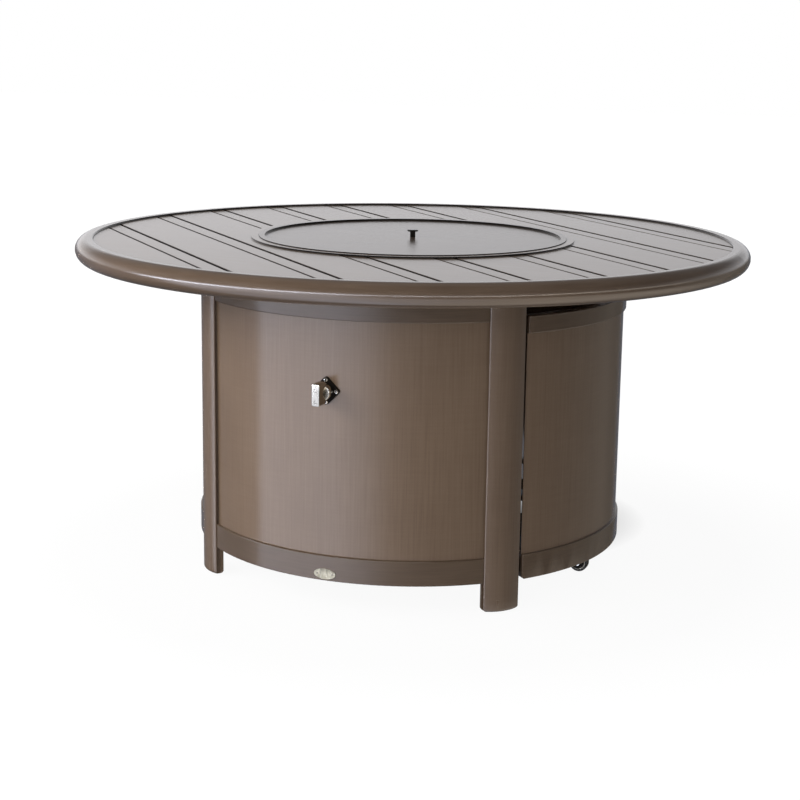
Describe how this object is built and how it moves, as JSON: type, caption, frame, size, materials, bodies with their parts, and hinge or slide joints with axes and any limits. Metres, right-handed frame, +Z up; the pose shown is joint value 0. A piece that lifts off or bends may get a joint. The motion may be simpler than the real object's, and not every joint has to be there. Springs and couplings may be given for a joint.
{
  "type": "fire pit dining table",
  "caption": "Round slatted dining table with a gas fire bowl under a lift-off lid, curved panelled base, push-and-turn valve knob and a pull-out tank drawer on a caster.",
  "frame": {"origin": "middle of the table at floor level", "axes": "+Z up, -Y towards the bay with the valve knob, +X towards the bay with the tank drawer"},
  "size_m": [1.3718, 1.3714, 0.682],
  "materials": {
    "bronze_coat": "satin",
    "top_coat": "satin",
    "bowl_coat": "satin",
    "galvanised_steel": "satin",
    "burner_steel": "satin",
    "chrome": "polished",
    "black_chrome": "polished",
    "brass": "satin",
    "black_plastic": "gloss",
    "rubber": "matte"
  },
  "bodies": {
    "table": {"rim_ring": "bronze_coat", "wide_slats": "top_coat", "notched_slat_left": "top_coat", "notched_slat_right": "top_coat", "narrow_slats": "top_coat", "mounting_ring": "bronze_coat", "slat_screws": "galvanised_steel", "leg_bolts": "galvanised_steel", "leg_front_right": "bronze_coat", "leg_back_right": "bronze_coat", "leg_back_left": "bronze_coat", "leg_front_left": "bronze_coat", "glide_front_right": "bronze_coat", "glide_back_right": "bronze_coat", "glide_back_left": "bronze_coat", "glide_front_left": "bronze_coat", "front_apron": "bronze_coat", "back_apron": "bronze_coat", "left_apron": "bronze_coat", "front_rail": "bronze_coat", "back_rail": "bronze_coat", "left_rail": "bronze_coat", "front_panel": "bronze_coat", "back_panel": "bronze_coat", "left_panel": "bronze_coat", "cross_bar_right": "bronze_coat", "cross_bar_left": "bronze_coat", "runner_front": "galvanised_steel", "runner_back": "galvanised_steel", "fire_bowl": "bowl_coat", "burner": "burner_steel", "burner_nut": "brass", "feed_pipe": "brass", "valve_body": "brass", "bezel": "black_plastic", "bezel_screws": "chrome", "badge": "chrome", "badge_pins": "chrome", "valve_spring": "burner_steel"},
    "push": {"spring_cup": "galvanised_steel"},
    "turn": {"valve_stem": "burner_steel", "control_knob": "chrome"},
    "drawer": {"drawer_top_rail": "bronze_coat", "drawer_bottom_rail": "bronze_coat", "drawer_panel": "bronze_coat", "drawer_tray": "galvanised_steel", "tank_collar": "galvanised_steel", "slide_bar_front": "galvanised_steel", "slide_bar_back": "galvanised_steel", "caster_post": "galvanised_steel", "caster_fork": "galvanised_steel", "caster_axle": "chrome"},
    "wheel": {"wheel_hub": "chrome", "tyre": "rubber"},
    "lid": {"lid_plate": "top_coat", "lid_knob": "black_chrome", "lid_screw": "galvanised_steel"}
  },
  "joints": [
    {"name": "lid_lift", "type": "slide", "parent": "table", "child": "lid", "axis": [0, 0, 1], "range_m": [0, 0.3]},
    {"name": "drawer_slide", "type": "slide", "parent": "table", "child": "drawer", "axis": [1, 0, 0], "range_m": [0, 0.35]},
    {"name": "wheel_spin", "type": "hinge", "parent": "drawer", "child": "wheel", "pos_m": [0.382, -0.01, 0.0197], "axis": [0, 1, 0], "continuous": true},
    {"name": "knob_push", "type": "slide", "parent": "table", "child": "push", "axis": [0, 1, 0], "range_m": [0, 0.004], "stiffness_N_per_m": 800, "springref_m": -0.004, "deforming": ["valve_spring"]},
    {"name": "knob_turn", "type": "hinge", "parent": "push", "child": "turn", "pos_m": [0, -0.45, 0.427], "axis": [0, -1, 0], "range_deg": [0, 180]}
  ]
}
